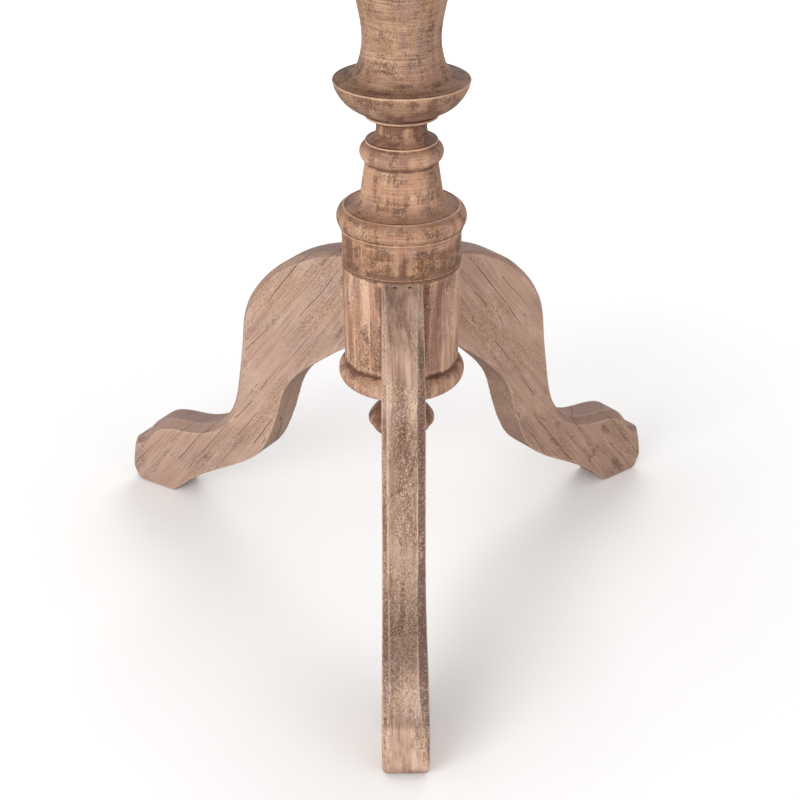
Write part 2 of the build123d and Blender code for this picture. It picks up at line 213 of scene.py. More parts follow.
def turned(name, line, segments):
    """Solid of revolution about Z from an outline of radius and height, closed at both ends."""
    ring = circle(segments)
    points = [np.column_stack([ring * r, np.full(segments, z)]) for r, z in line]
    points.append([[0, 0, line[0][1]], [0, 0, line[-1][1]]])
    faces = []
    for row in range(len(line) - 1):
        for i in range(segments):
            j = (i + 1) % segments
            faces.append((row * segments + i, row * segments + j,
                          (row + 1) * segments + j, (row + 1) * segments + i))
    bottom = len(line) * segments
    last = (len(line) - 1) * segments
    for i in range(segments):
        j = (i + 1) % segments
        faces.append((j, i, bottom))
        faces.append((last + i, last + j, bottom + 1))
    return new_piece(name, np.concatenate(points), faces)


# ---------------------------------------------------------------- wear, baked per point

def put_value(piece, name, values):
    attribute = piece.data.attributes.new(name, "FLOAT", "POINT")
    attribute.data.foreach_set("value", values.astype(np.float32))


def put_vector(piece, name, values):
    attribute = piece.data.attributes.new(name, "FLOAT_VECTOR", "POINT")
    attribute.data.foreach_set("vector", values.astype(np.float32).ravel())


def neighbours_tree(node):
    """The surfaces of the other CAD nodes on the same body."""
    points, faces = [], []
    for other in bodies[body_of[node]]:
        if other == node:
            continue
        mesh = nodes[other].data
        start = len(points)
        points.extend(v.co for v in mesh.vertices)
        faces.extend([start + i for i in p.vertices] for p in mesh.polygons)
    return BVHTree.FromPolygons(points, faces)


def put_wear(piece, node, fine=3, broad=26, arris_highlight=0.0, open_wood=1.0):
    """Bake worn edges, hollows, upward faces, the undersides that get painted shade, and the grime
    and painted shade beside other pieces.

    fine and broad are the rounds of smoothing that show narrow and wide edges. arris_highlight
    is a painted highlight of the caller's own along crisp arrises, added to the edges, and
    open_wood is 0 where the surface runs into a neighbour and has no real edge.
    """
    points = get_points(piece)
    normals = get_normals(piece)
    edges = get_edges(piece)
    near = smoothed(points, edges, fine)
    far = smoothed(near, edges, broad - fine)
    bend = ((near - points) * normals).sum(1)
    sweep = ((far - points) * normals).sum(1)
    edge = np.clip(-bend / 0.2 - 0.12, 0, 1) ** 1.5 + 0.35 * np.clip(-sweep / 2.0, 0, 1)
    put_value(piece, "edge", np.clip(edge * open_wood + arris_highlight, 0, 1))
    put_value(piece, "hollow", np.clip(bend / 0.12 + sweep / 1.0, 0, 1) * open_wood)
    # upward faces, which the shader covers with dust and painted shade
    put_value(piece, "up", smooth_step(0.25, 0.95, normals[:, 2]))
    # undersides, which the shader darkens as painted shade
    put_value(piece, "underside_shade", smooth_step(0.05, 0.9, -normals[:, 2]))
    # grime with painted shade beside another piece thins out over a few millimetres and ends at its
    # reach
    reach, fade = 12.0, 3.0
    tree = neighbours_tree(node)
    low, high = [], []
    for other in bodies[body_of[node]]:
        if other != node:
            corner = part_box(other)
            low.append(corner[0])
            high.append(corner[1])
    low, high = np.array(low) / MM - reach, np.array(high) / MM + reach
    close = np.zeros(len(points), bool)
    for a, b in zip(low, high):
        close |= ((points > a) & (points < b)).all(1)
    grime_and_shade = np.zeros(len(points))
    for i in np.nonzero(close)[0]:
        distance = tree.find_nearest(Vector(points[i] * MM), reach * MM)[3]
        if distance is not None:
            grime_and_shade[i] = np.exp(-distance / MM / fade)
    put_value(piece, "grime_and_shade", grime_and_shade)


def put_grain(piece, along, across, seed, flat=1.0):
    """Bake the wood's own coordinates in mm: z runs along the fibres and x across the piece.

    flat below 1 draws the figure out in depth, so that it runs down a face cut at a slant.
    """
    along, across = Vector(along).normalized(), Vector(across).normalized()
    axes = np.array((across, along.cross(across) * flat, along))
    place = np.random.default_rng(seed).uniform(-900, 900, 3)
    grain = get_points(piece) @ axes.T + place
    put_vector(piece, "grain", grain)
    return grain


def worn(piece, grain, depth, seed, mask=1.0, dent=0.4):
    """Cut a little wood away: along the fibres, in dents, and most of all on the sharp edges.

    depth is in mm and mask scales it from place to place; dent is the share of the dents.
    """
    points = get_points(piece)
    normals = get_normals(piece)
    edges = get_edges(piece)
    convex = np.clip(-((smoothed(points, edges, 5) - points) * normals).sum(1) / 0.25, 0, 1)
    fibres = noise(grain, (3.2, 3.2, 70), seed)
    waves = noise(grain, (28, 28, 90), seed + 10, 2)
    dents = smooth_step(0.5, 0.85, noise(grain, (11, 11, 18), seed + 20, 2))
    chips = smooth_step(0.15, 0.8, noise(grain, (7, 7, 12), seed + 30))
    cut = 0.18 * (fibres + 1) / 2 + 0.35 * (waves + 1) / 2 + dent * dents + 0.8 * chips * convex
    set_points(piece, points - normals * (depth * mask * cut)[:, None])


def put_dark_bands(piece, dark_bands, fade=3):
    """Bake bands in which the wood is darker: each is its low and high height and its strength."""
    height = get_points(piece)[:, 2]
    total = np.zeros(len(height))
    for low, high, strength in dark_bands:
        above = smooth_step(low - fade, low + fade, height)
        below = 1 - smooth_step(high - fade, high + fade, height)
        total = np.maximum(total, strength * above * below)
    put_value(piece, "darkened", total)


def smooth_shaded(piece):
    piece.data.polygons.foreach_set("use_smooth", [True] * len(piece.data.polygons))
    piece.data.update()


# ---------------------------------------------------------------- materials

class Shader:
    """A new material, with short calls to add its nodes."""

    def __init__(self, name):
        self.material = bpy.data.materials.new(name)
        self.material.use_nodes = True
        self.tree = self.material.node_tree
        self.tree.nodes.clear()

    def add(self, kind, inputs, output=0, **settings):
        node = self.tree.nodes.new(kind)
        for key, value in settings.items():
            setattr(node, key, value)
        for key, value in inputs.items():
            if isinstance(value, bpy.types.NodeSocket):
                self.tree.links.new(value, node.inputs[key])
            else:
                node.inputs[key].default_value = value
        return node.outputs[output]

    def baked(self, name, output="Fac"):
        return self.add("ShaderNodeAttribute", {}, output, attribute_name=name)

    def stretched(self, vector, scale):
        return self.add("ShaderNodeVectorMath", {0: vector, 1: scale}, operation="MULTIPLY")

    def noise(self, vector, scale, detail=3.0, roughness=0.55):
        return self.add("ShaderNodeTexNoise", {"Vector": vector, "Scale": scale, "Detail": detail,
                                               "Roughness": roughness})

    def band(self, value, low, high):
        """0 below low and 1 above high, or the other way round where low is the greater."""
        return self.add("ShaderNodeMapRange", {0: value, 1: low, 2: high},
                        interpolation_type="SMOOTHSTEP")

    def math(self, operation, a, b=0.0, clamp=False):
        return self.add("ShaderNodeMath", {0: a, 1: b}, operation=operation, use_clamp=clamp)

    def times(self, a, b):
        return self.math("MULTIPLY", a, b)

    def total(self, *terms):
        """Sum of values, each given with its weight."""
        result = self.times(*terms[0])
        for value, weight in terms[1:]:
            result = self.math("ADD", result, self.times(value, weight))
        return result

    def dot(self, vector, direction):
        return self.add("ShaderNodeVectorMath", {0: vector, 1: direction}, 1,
                        operation="DOT_PRODUCT")

    def mix(self, factor, a, b):
        return self.add("ShaderNodeMix", {0: factor, 6: a, 7: b}, 2, data_type="RGBA")

    def finish(self, inputs):
        surface = self.add("ShaderNodeBsdfPrincipled", inputs)
        output = self.tree.nodes.new("ShaderNodeOutputMaterial")
        self.tree.links.new(surface, output.inputs["Surface"])
        return self.material


def colour(red, green, blue):
    """Linear colour from screen values of 0 to 255."""
    def linear(v):
        v /= 255
        return v / 12.92 if v <= 0.04045 else ((v + 0.055) / 1.055) ** 2.4
    return (linear(red), linear(green), linear(blue), 1.0)


def wood(name, plain, ochre, mauve, limed, dark, lathe=0.0, glaze=0.0, speckle=0.5, cracks=0.5,
         dust_and_shade=0.5, soft=1.0, streaks=0.4, bands=0.3, shaded=0.6, lime=0.7, dirt_and_shade=0.2, bevel_shade=0.4,
         figure=0.4, hidden=False):
    """Limed and glazed hardwood. The colours are its tones; the numbers are strengths.

    lathe is for the marks of turning, glaze moves how much dark glaze is left, and soft is for the
    broad patches. streaks and bands are fine and broad strips of fibres, dirt_and_shade is the
    grime beside other pieces with the painted shade there, shaded is the strength of the painted
    shade on the undersides, and bevel_shade is the same for the painted shade on bevels.
    dust_and_shade is the dust and painted shade on upward faces and bevels.
    figure is how short the patches are along the fibres. hidden is for CAD nodes that keep their
    own mesh.
    """
    s = Shader(name)
    if hidden:
        # a CAD node has no baked grain: its fibres run along x
        grain = s.add("ShaderNodeMapping", {"Vector": s.add("ShaderNodeTexCoord", {}, "Object"),
                                            "Rotation": (0, pi / 2, 0), "Scale": (1 / MM,) * 3})
    else:
        grain = s.baked("grain", "Vector")
    edge, hollow, up = s.baked("edge"), s.baked("hollow"), s.baked("up")
    underside_shade, grime_and_shade, bevelled = s.baked("underside_shade"), s.baked("grime_and_shade"), s.baked("bevelled")
    darkened = s.baked("darkened")

    broad = s.noise(s.stretched(grain, (1, 1, 0.45)), 0.02, 2.0)
    other = s.noise(s.stretched(grain, (1, 1, 0.6)), 0.03, 3.0)
    patch = s.noise(s.stretched(grain, (1, 1, figure)), 0.06, 5.0, 0.62)
    grit = s.noise(s.stretched(grain, (1, 1, 0.7)), 0.75, 3.0, 0.7)
    streak = s.noise(s.stretched(grain, (1, 1, 0.035)), 0.42, 4.0, 0.65)
    strip = s.noise(s.stretched(grain, (1, 1, 0.09)), 0.1, 3.0, 0.55)
    dash = s.noise(s.stretched(grain, (1, 1, 0.12)), 0.85, 3.0, 0.65)

    tone = s.mix(s.times(s.band(broad, 0.42, 0.6), soft), plain, ochre)
    tone = s.mix(s.times(s.band(other, 0.49, 0.62), soft), tone, mauve)
    # broad and fine strips of fibres, then lime rubbed into the open grain in patches
    tone = s.mix(s.times(s.band(strip, 0.5, 0.68), bands), tone, dark)
    tone = s.mix(s.times(s.band(strip, 0.5, 0.34), bands), tone, limed)
    tone = s.mix(s.times(s.band(streak, 0.5, 0.64), streaks), tone, dark)
    tone = s.mix(s.times(s.band(streak, 0.48, 0.36), 0.8 * streaks), tone, limed)
    pale = s.total((patch, 0.75), (dash, 0.25), (edge, 0.08))
    tone = s.mix(s.times(s.band(pale, 0.5, 0.6), lime), tone, limed)

    # cross marks of fibres and of the turning tool, in which the glaze is caught
    marks = s.band(dash, 0.5, 0.62)
    height = s.total((dash, 0.45), (streak, 0.55))
    if lathe:
        ring = s.noise(s.stretched(grain, (0.05, 0.05, 1)), 0.45, 2.0, 0.6)
        fine_ring = s.noise(s.stretched(grain, (0.035, 0.035, 1)), 1.0, 2.0)
        rings = s.total((ring, 0.45), (fine_ring, 0.55))
        dark_ring = s.times(s.band(rings, 0.5, 0.58), lathe)
        woven = s.math("MAXIMUM", dark_ring, s.times(marks, lathe))
        woven = s.times(woven, s.band(patch, 0.4, 0.56))
        tone = s.mix(s.times(s.band(rings, 0.48, 0.4), 0.5 * lathe), tone, limed)
        tone = s.mix(s.times(woven, 0.65), tone, dark)
        marks = s.math("MAXIMUM", marks, dark_ring)
        height = s.math("ADD", height, s.times(rings, 0.8 * lathe))

    # dark glaze: most in hollows, beside other pieces, where it is also painted shade, and on the
    # bevels, where it is painted shade; rubbed off the edges
    field = s.total((patch, 0.5), (grit, 0.25), (strip, 0.25), (hollow, 0.07), (darkened, 0.05),
                    (grime_and_shade, dirt_and_shade), (bevelled, 0.1 * bevel_shade), (marks, 0.03), (edge, -0.12))
    left = s.band(field, 0.56 - glaze, 0.655 - glaze)
    tone = s.mix(s.times(left, 0.8), tone, dark)
    tone = s.mix(s.times(darkened, 0.3), tone, dark)
    # grains of dark glaze and of lime, thick in some patches and absent from others, and thicker on
    # the bevels by the strength of their painted shade
    sown = s.band(s.math("ADD", broad, s.times(bevelled, 0.1 * bevel_shade)), 0.42, 0.56)
    sown = s.times(sown, speckle)
    spots = s.times(s.band(grit, 0.53, 0.6), sown)
    tone = s.mix(spots, tone, dark)
    tone = s.mix(s.times(s.band(grit, 0.46, 0.38), sown), tone, limed)
    height = s.math("SUBTRACT", height, s.times(s.math("MAXIMUM", left, spots), 0.35))

    # long thin shakes along the fibres, one for each whole number of a ramp across them, and
    # broken here and there by a noise read at a place of the shake's own
    ramp = s.dot(grain, (0.03, 0.06, 0))
    sway = s.noise(s.stretched(grain, (1, 1, 0.25)), 0.035, 3.0, 0.4)
    line = s.math("ADD", ramp, s.times(sway, 1.1))
    own_number = s.times(s.math("FLOOR", line), 17.3)
    own_place = s.add("ShaderNodeCombineXYZ", {"X": own_number, "Z": s.dot(grain, (0, 0, 0.012))})
    broken = s.band(s.noise(own_place, 1.0, 2.0), 0.51, 0.53)
    off = s.math("ABSOLUTE", s.math("SUBTRACT", s.math("FRACT", line), 0.5))
    shake = s.times(s.band(off, 0.022, 0.008), s.times(broken, cracks))
    height = s.math("SUBTRACT", height, s.times(shake, 1.5))

    # dust and painted shade on upward faces and bevels, painted shade on undersides, and pale wood
    # where edges are rubbed, with a painted highlight along crisp arrises
    dust_and_shade_tone = tuple(0.75 * c for c in mauve[:3]) + (1.0,)
    open_face = s.math("MAXIMUM", up, s.times(bevelled, bevel_shade))
    tone = s.mix(s.times(open_face, dust_and_shade), tone, dust_and_shade_tone)
    tone = s.mix(s.times(underside_shade, shaded), tone, dark)
    rubbed_and_highlight = s.times(edge, s.band(s.math("ADD", dash, s.times(edge, 0.15)), 0.42, 0.6))
    tone = s.mix(s.times(rubbed_and_highlight, 0.7), tone, limed)
    shade = tuple(0.4 * c for c in dark[:3]) + (1.0,)
    tone = s.mix(s.times(shake, 0.75), tone, shade)

    rough = s.math("ADD", s.times(patch, 0.25), 0.57)
    rough = s.math("SUBTRACT", rough, s.times(rubbed_and_highlight, 0.12), clamp=True)
    bump = s.add("ShaderNodeBump", {"Height": height, "Strength": 0.8, "Distance": 0.001})
    return s.finish({"Base Color": tone, "Roughness": rough, "Normal": bump,
                     "Specular IOR Level": 0.25})


def metal(name, bright, tarnish, spots, rough):
    """Old metal: rubbed bright in places, tarnished or rusted in the rest."""
    s = Shader(name)
    place = s.add("ShaderNodeTexCoord", {}, "Object")
    cloud = s.noise(place, 140.0, 4.0, 0.6)
    speck = s.noise(place, 900.0, 3.0, 0.6)
    scratch = s.noise(s.stretched(place, (1, 0.06, 1)), 1800.0, 2.0)
    tone = s.mix(s.band(cloud, 0.38, 0.62), bright, tarnish)
    tone = s.mix(s.times(s.band(speck, 0.58, 0.7), 0.8), tone, spots)
    roughness = s.math("ADD", s.times(s.band(cloud, 0.3, 0.7), 0.25), rough)
    height = s.total((speck, 0.6), (scratch, 0.4))
    bump = s.add("ShaderNodeBump", {"Height": height, "Strength": 0.35, "Distance": 0.0002})
    return s.finish({"Base Color": tone, "Roughness": roughness, "Normal": bump, "Metallic": 1.0})


def tones(plain, ochre, mauve, limed, dark):
    return {"plain": colour(*plain), "ochre": colour(*ochre), "mauve": colour(*mauve),
            "limed": colour(*limed), "dark": colour(*dark)}


# plain, ochre, mauve, limed and dark tones of each wood
TURNED = tones((170, 128, 102), (160, 117, 84), (150, 113, 98), (214, 178, 148), (80, 46, 32))
VASE = tones((162, 126, 103), (153, 117, 89), (145, 113, 100), (200, 167, 140), (86, 54, 41))
HUB = tones((172, 132, 111), (162, 121, 94), (154, 116, 102), (210, 175, 149), (90, 52, 38))
PALE_LEG = tones((168, 138, 120), (160, 129, 107), (156, 129, 119), (190, 163, 145), (98, 68, 54))
# the next tones, for the right leg, are a slightly darker copy of the leg wood: painted shade on
# the side away from the key light
SHADED_LEG = tones((169, 136, 118), (159, 126, 103), (155, 125, 115), (193, 161, 142), (90, 60, 48))
FRONT_LEG = tones((172, 140, 122), (160, 129, 106), (158, 132, 121), (214, 186, 164), (92, 62, 50))
BARE = tones((146, 112, 90), (136, 102, 76), (130, 104, 92), (176, 146, 122), (74, 50, 38))
turned_wood = wood("turned_wood", **TURNED, lathe=0.45, glaze=0.05, speckle=0.3, cracks=0.2,
                   dust_and_shade=0.4, streaks=0.12, bands=0.2, shaded=0.5, figure=1.3)
vase_wood = wood("vase_wood", **VASE, lathe=0.8, glaze=0.04, speckle=0.25, cracks=0.2, dust_and_shade=0.3,
                 streaks=0.12, bands=0.2, shaded=0.5, figure=1.3)
hub_wood = wood("hub_wood", **HUB, lathe=0.1, glaze=0.04, speckle=0.35, cracks=0.3, dust_and_shade=0.2,
                streaks=0.2, bands=0.6, shaded=0.1, figure=0.6)
side_leg = {"speckle": 0.4, "cracks": 1.0, "dust_and_shade": 0.75, "soft": 0.6, "streaks": 0.28,
            "bands": 0.15, "dirt_and_shade": 0.08, "bevel_shade": 0.15, "figure": 0.6}
left_leg_wood = wood("left_leg_wood", **PALE_LEG, **side_leg, lime=0.45)
# the right leg's wood, darker for painted shade
right_leg_shaded_wood = wood("right_leg_shaded_wood", **SHADED_LEG, **side_leg, lime=0.5)
front_leg_wood = wood("front_leg_wood", **FRONT_LEG, glaze=-0.02, speckle=0.5, cracks=0.3,
                      dust_and_shade=0.12, streaks=0.35, bands=0.5, lime=0.35, dirt_and_shade=0.03, bevel_shade=1.3)
top_wood = wood("top_wood", **PALE_LEG, speckle=0.3, cracks=0.8, dust_and_shade=0.25, lime=0.4, dirt_and_shade=0.4)
frame_wood = wood("frame_wood", **BARE, speckle=0.3, cracks=0.7, dust_and_shade=0.2)
hidden_wood = wood("hidden_wood", **BARE, speckle=0.3, hidden=True)
old_brass = metal("old_brass", colour(168, 136, 88), colour(104, 82, 54), colour(60, 47, 34), 0.35)
old_iron = metal("old_iron", colour(96, 86, 78), colour(60, 48, 42), colour(96, 58, 38), 0.45)


def set_material(piece, material):
    piece.data.materials.clear()
    piece.data.materials.append(material)


def stand_for(piece, node, material):
    """Shade a piece, put it in a CAD node's place and let it ride on that node's body."""
    set_material(piece, material)
    smooth_shaded(piece)
    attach(piece, body_of[node])
    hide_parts(node)


# ---------------------------------------------------------------- legs

def outer_surface(node, outward):
    """The knee, shin, instep and toe of a leg, as a tree to measure depth from."""
    mesh = nodes[node].data
    faces = []
    for face in mesh.polygons:
        normal = face.normal
        to_side = normal.x * -outward.y + normal.y * outward.x
        if abs(to_side) < 0.6 and normal.dot(outward) + normal.z > 0:
            faces.append(tuple(face.vertices))
    return BVHTree.FromPolygons([v.co for v in mesh.vertices], faces)


def leg(node, seed, bevels, flat, dark_bands, nose):
    """One leg, with its outer edges bevelled and its fibres running from hub to foot.

    bevels are the widths on its two sides, flat and dark_bands go to put_grain and put_dark_bands,
    and nose is how far the toe's upper corner is pressed in.
    """
    piece = remeshed(f"{node}_worn", node, voxel=1.4)
    low, high = (Vector(v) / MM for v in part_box(node))
    middle = (low + high) / 2
    outward = Vector((middle.x, middle.y, 0)).normalized()
    sideways = np.array((-outward.y, outward.x))
    points = get_points(piece)
    edges = get_edges(piece)
    along = points[:, :2] @ np.array(outward[:2])
    across = points[:, :2] @ sideways
    reach = along.max()
    half = np.interp(along, (LEG_ROOT, reach), (LEG_ROOT_HALF, LEG_TIP_HALF))
    # each bevel starts narrow at the hub and is widest on the foot
    spread = np.interp(along, (58, 110, 0.6 * reach, 0.85 * reach), (0.35, 0.7, 0.85, 1.0))
    bevel = np.where(across > 0, bevels[0], bevels[1]) * spread
    bevel *= 1 + 0.12 * noise(points, 60, seed + 70, 2)
    toe = smooth_step(reach - 50, reach - 15, along) * (1 - smooth_step(15, 80, points[:, 2]))
    bevel = bevel * (1 - toe) + 3.5 * toe
    bevelled = np.zeros(len(points))
    arris = np.zeros(len(points))
    tree = outer_surface(node, outward)
    for i in np.nonzero(np.abs(across) > half - bevel)[0]:
        place, normal, _, depth = tree.find_nearest(Vector(points[i] * MM), bevel[i] * MM)
        if place is None:
            continue
        over = bevel[i] - (half[i] - abs(across[i])) - depth / MM
        if over > 0:
            points[i] -= np.array(normal) * over / 2
            points[i, :2] -= sideways * np.sign(across[i]) * over / 2
        # how far a point is into a bevel, times the bevel's width: the shader paints shade on
        # bevels by it, darkest on the widest
        bevelled[i] = smooth_step(-1.0, 0.6, over) * bevel[i] / 11
        # nearness to the bevel's edge, along which a pale highlight is painted
        arris[i] = np.exp(-(over / 0.9) ** 2)
    from_hub = np.hypot(points[:, 0], points[:, 1]) - hub_radius
    free = smooth_step(1.0, 7.0, from_hub)[:, None]
    points = smoothed(points, edges, 4, free)
    points = smoothed(points, edges, 14, free * toe[:, None])
    corner_along, corner_height, corner_size = reach - 6, 62, 30
    from_corner = np.hypot(along - corner_along, points[:, 2] - corner_height)
    pressed = nose * np.exp(-(from_corner / corner_size) ** 2)
    points[:, :2] -= 0.75 * pressed[:, None] * np.array(outward[:2])
    points[:, 2] -= 0.65 * pressed
    points[:, 2] = np.maximum(points[:, 2], 0)
    set_points(piece, points)
    fibres = outward * -cos(FIBRE_RISE) + Vector((0, 0, sin(FIBRE_RISE)))
    grain = put_grain(piece, fibres, sideways.tolist() + [0], seed, flat)
    put_value(piece, "bevelled", bevelled)
    on_floor = smooth_step(0.5, 4.0, points[:, 2])
    worn(piece, grain, 0.8, seed, free[:, 0] * on_floor, dent=0.12)
    put_wear(piece, node, arris_highlight=0.6 * arris * (1 - toe))
    put_dark_bands(piece, dark_bands, fade=10)
    return piece


# each leg is darker in the bands given; the first band darkens it towards the floor
front = leg("leg_front", 11, bevels=(11, 5.5), flat=0.35, nose=0,
            dark_bands=[(-20, 78, 0.4), (78, 262, 1.4)])
stand_for(front, "leg_front", front_leg_wood)
right = leg("leg_right", 12, bevels=(8, 8), flat=1.0, nose=5, dark_bands=[(-20, 120, 0.7)])
stand_for(right, "leg_right", right_leg_shaded_wood)
left = leg("leg_left", 13, bevels=(8, 8), flat=1.0, nose=5, dark_bands=[(-20, 110, 0.35)])
stand_for(left, "leg_left", left_leg_wood)


# ---------------------------------------------------------------- turned pedestal

def crack(points, angle, width, depth, low, high, seed):
    """Depth of an upright shake at an angle round a turned piece, between two heights."""
    taper, sway = 8, 0.8
    around = np.arctan2(points[:, 1], points[:, 0])
    radius = np.hypot(points[:, 0], points[:, 1])
    wander = noise(points * (0, 0, 1), 14, seed)
    across = np.abs((around - radians(angle) + pi) % (2 * pi) - pi) * radius - wander * sway
    height = points[:, 2]
    ends = smooth_step(low, low + taper, height) * (1 - smooth_step(high - taper, high, height))
    return depth * ends * np.exp(-(across / width) ** 2)


def turned_piece(node, low, high, spacing, segments, seed, material, shakes=(), arrises=(),
                 dark_bands=()):
    """A turned part of the pedestal, with tool marks and, where it has them, shakes and arrises.

    A shake is its angle, width, depth, low end and high end. An arris, an edge left crisp by the
    chisel, is its radius and height, and a pale highlight is painted along each one.
    """
    piece = turned(f"{node}_turned", outline(node, low, high, spacing), segments)
    grain = put_grain(piece, (0, 0, 1), (1, 0, 0), seed)
    points = get_points(piece)
    radius = np.hypot(points[:, 0], points[:, 1])
    arris_highlight = np.zeros(len(points))
    inside = np.zeros(len(points))
    # a pale highlight is painted in a narrow band along each arris, and the band is spared the wear
    for r, z in arrises:
        distance = np.hypot(radius - r, points[:, 2] - z)
        arris_highlight = np.maximum(arris_highlight, np.exp(-(distance / 0.75) ** 2))
        behind = (radius < r - 0.5) & (points[:, 2] > z - 1.0)
        inside = np.maximum(inside, np.exp(-((distance - 2.4) / 1.6) ** 2) * behind)
    worn(piece, grain, 0.5, seed, 1 - 0.8 * arris_highlight)
    points = get_points(piece)
    normals = get_normals(piece)
    marks = 0.10 * (noise(points * (0, 0, 1), 2.6, seed + 40, 2) + 1) / 2 + 0.7 * inside
    for angle, width, depth, start, end in shakes:
        marks = marks + crack(points, angle, width, depth, start, end, seed + int(angle))
    keep = (points[:, 2] > low + 0.5) & (points[:, 2] < high - 0.5)
    set_points(piece, points - normals * (marks * keep)[:, None])
    ends = np.minimum(points[:, 2] - low, high - points[:, 2])
    put_wear(piece, node, arris_highlight=0.8 * arris_highlight, open_wood=smooth_step(1.5, 5.0, ends))
    put_dark_bands(piece, dark_bands)
    stand_for(piece, node, material)


# the finial is darker in a band between 100 and 208 mm high
turned_piece("drop_finial", finial_low, hub_low, 0.9, 220, 21, hub_wood,
             arrises=[(33.0, 165)],
             dark_bands=[(100, 208, 1.5)])
turned_piece("leg_hub", hub_low, hub_high, 1.0, 300, 22, hub_wood,
             shakes=[(-121, 0.7, 0.5, 240, 330), (100, 0.9, 1.0, 236, 330)])
turned_piece("column_middle", hub_high, neck_top, 0.75, 260, 23, turned_wood,
             shakes=[(-66, 0.6, 0.4, 400, 420)],
             arrises=[(57.4, 338.8), (55.3, 394.4), (34.1, 458.4)],
             dark_bands=[(330, 367, 0.75), (380, 386, 0.25), (458, 490, 0.9)])
turned_piece("column_urn", neck_top, block_low, 0.9, 260, 24, vase_wood,
             shakes=[(-118, 0.7, 1.2, 486, 508), (60, 0.9, 1.0, 560, 640),
                     (-70, 0.7, 0.7, 600, 650)],
             arrises=[(63.4, 515.6), (34.4, 482)],
             dark_bands=[(470, 513, 0.6)])

# ---------------------------------------------------------------- block and cleats

def clear_bolt_hole(piece):
    """Keep the worn block's bolt hole wide enough for the bolt that shoots into it."""
    clearance, hole_depth = 1.4, 15
    (_, _, low), (_, _, high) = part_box("bolt_rod")
    bolt_height, bolt_radius = (low + high) / 2 / MM, (high - low) / 2 / MM
    hole_radius = bolt_radius + clearance
    hole_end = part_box("strike_plate")[1][1] / MM + hole_depth
    points = get_points(piece)
    offset = points[:, [0, 2]] - (0, bolt_height)
    distance = np.maximum(np.hypot(*offset.T), 0.1)
    push = np.where(points[:, 1] < hole_end, np.maximum(hole_radius / distance, 1), 1)
    points[:, [0, 2]] = offset * push[:, None] + (0, bolt_height)
    set_points(piece, points)


for node, voxel, along, seed in (("tilt_block", 2.2, (1, 0, 0), 31),
                                 ("cleat_left", 2.0, (0, 1, 0), 32),
                                 ("cleat_right", 2.0, (0, 1, 0), 33)):
    piece = remeshed(f"{node}_worn", node, voxel)
    set_points(piece, smoothed(get_points(piece), get_edges(piece), 3))
    grain = put_grain(piece, along, (along[1], along[0], 0), seed)
    worn(piece, grain, 0.5, seed)
    if node == "tilt_block":
        clear_bolt_hole(piece)
    put_wear(piece, node)
    stand_for(piece, node, frame_wood)

# ---------------------------------------------------------------- top

def disc_outline(rings):
    """Radius and height of the whole top, from its middle over the rim to below its middle."""
    bevel_top, bevel_low = 5.0, 3.0
    radii = np.linspace(0, 1, rings + 1)[1:]
    line = [(r * (top_radius - bevel_top), top_high) for r in radii]
    line += [(top_radius - bevel_top * (1 - sin(a)), top_high - bevel_top * (1 - cos(a)))
             for a in np.linspace(0, pi / 2, 5)[1:]]
    line += [(top_radius, z) for z in np.linspace(top_high - bevel_top, top_low + bevel_low, 5)[1:]]
    line += [(top_radius - bevel_low * (1 - cos(a)), top_low + bevel_low * (1 - sin(a)))
             for a in np.linspace(0, pi / 2, 4)[1:]]
    line += [(r * (top_radius - bevel_low), top_low) for r in radii[-2::-2]]
    return line


def whole_disc(rings, segments):
    """The whole top as one closed disc, from which the boards are cut."""
    ring = circle(segments)
    bm = bmesh.new()
    loops = [[bm.verts.new((x * r * MM, y * r * MM, z * MM)) for x, y in ring]
             for r, z in disc_outline(rings)]
    for inner, outer in zip(loops, loops[1:]):
        for i in range(segments):
            j = (i + 1) % segments
            bm.faces.new((inner[i], outer[i], outer[j], inner[j]))
    top_centre = bm.verts.new((0, 0, top_high * MM))
    low_centre = bm.verts.new((0, 0, top_low * MM))
    for i in range(segments):
        j = (i + 1) % segments
        bm.faces.new((top_centre, loops[0][i], loops[0][j]))
        bm.faces.new((low_centre, loops[-1][j], loops[-1][i]))
    return bm


